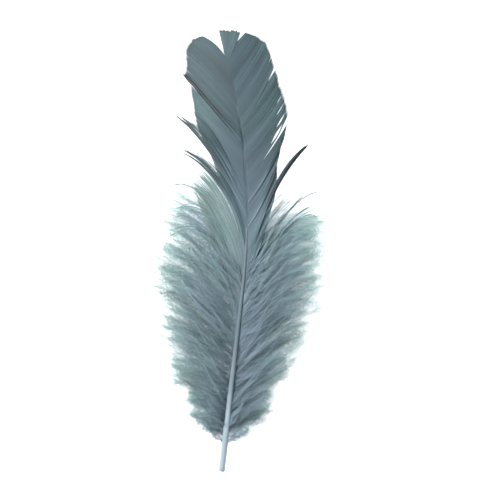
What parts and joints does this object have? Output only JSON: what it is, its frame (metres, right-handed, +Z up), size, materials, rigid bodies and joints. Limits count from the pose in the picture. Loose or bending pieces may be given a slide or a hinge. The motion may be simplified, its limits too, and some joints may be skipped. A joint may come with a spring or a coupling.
{
  "type": "goose feather",
  "caption": "Slate grey goose quill feather with a bowed shaft, a split vane and a wide base of loose down, lying flat with its upper side up.",
  "frame": {"origin": "on the resting surface, under the centre of the feather's bounding box", "axes": "+Y along the feather from the quill's end to the tip, +Z up from the resting surface, out of the feather's upper side"},
  "size_m": [0.0632, 0.1502, 0.0121],
  "materials": {
    "vane": "dyed feather barbs, zipped, soft sheen along the barbs",
    "down": "dyed down, loose and fluffy, matte, lets light through",
    "quill": "dyed horn, smooth with a soft gloss"
  },
  "bodies": {
    "root": {"feather": "vane"}
  },
  "joints": []
}
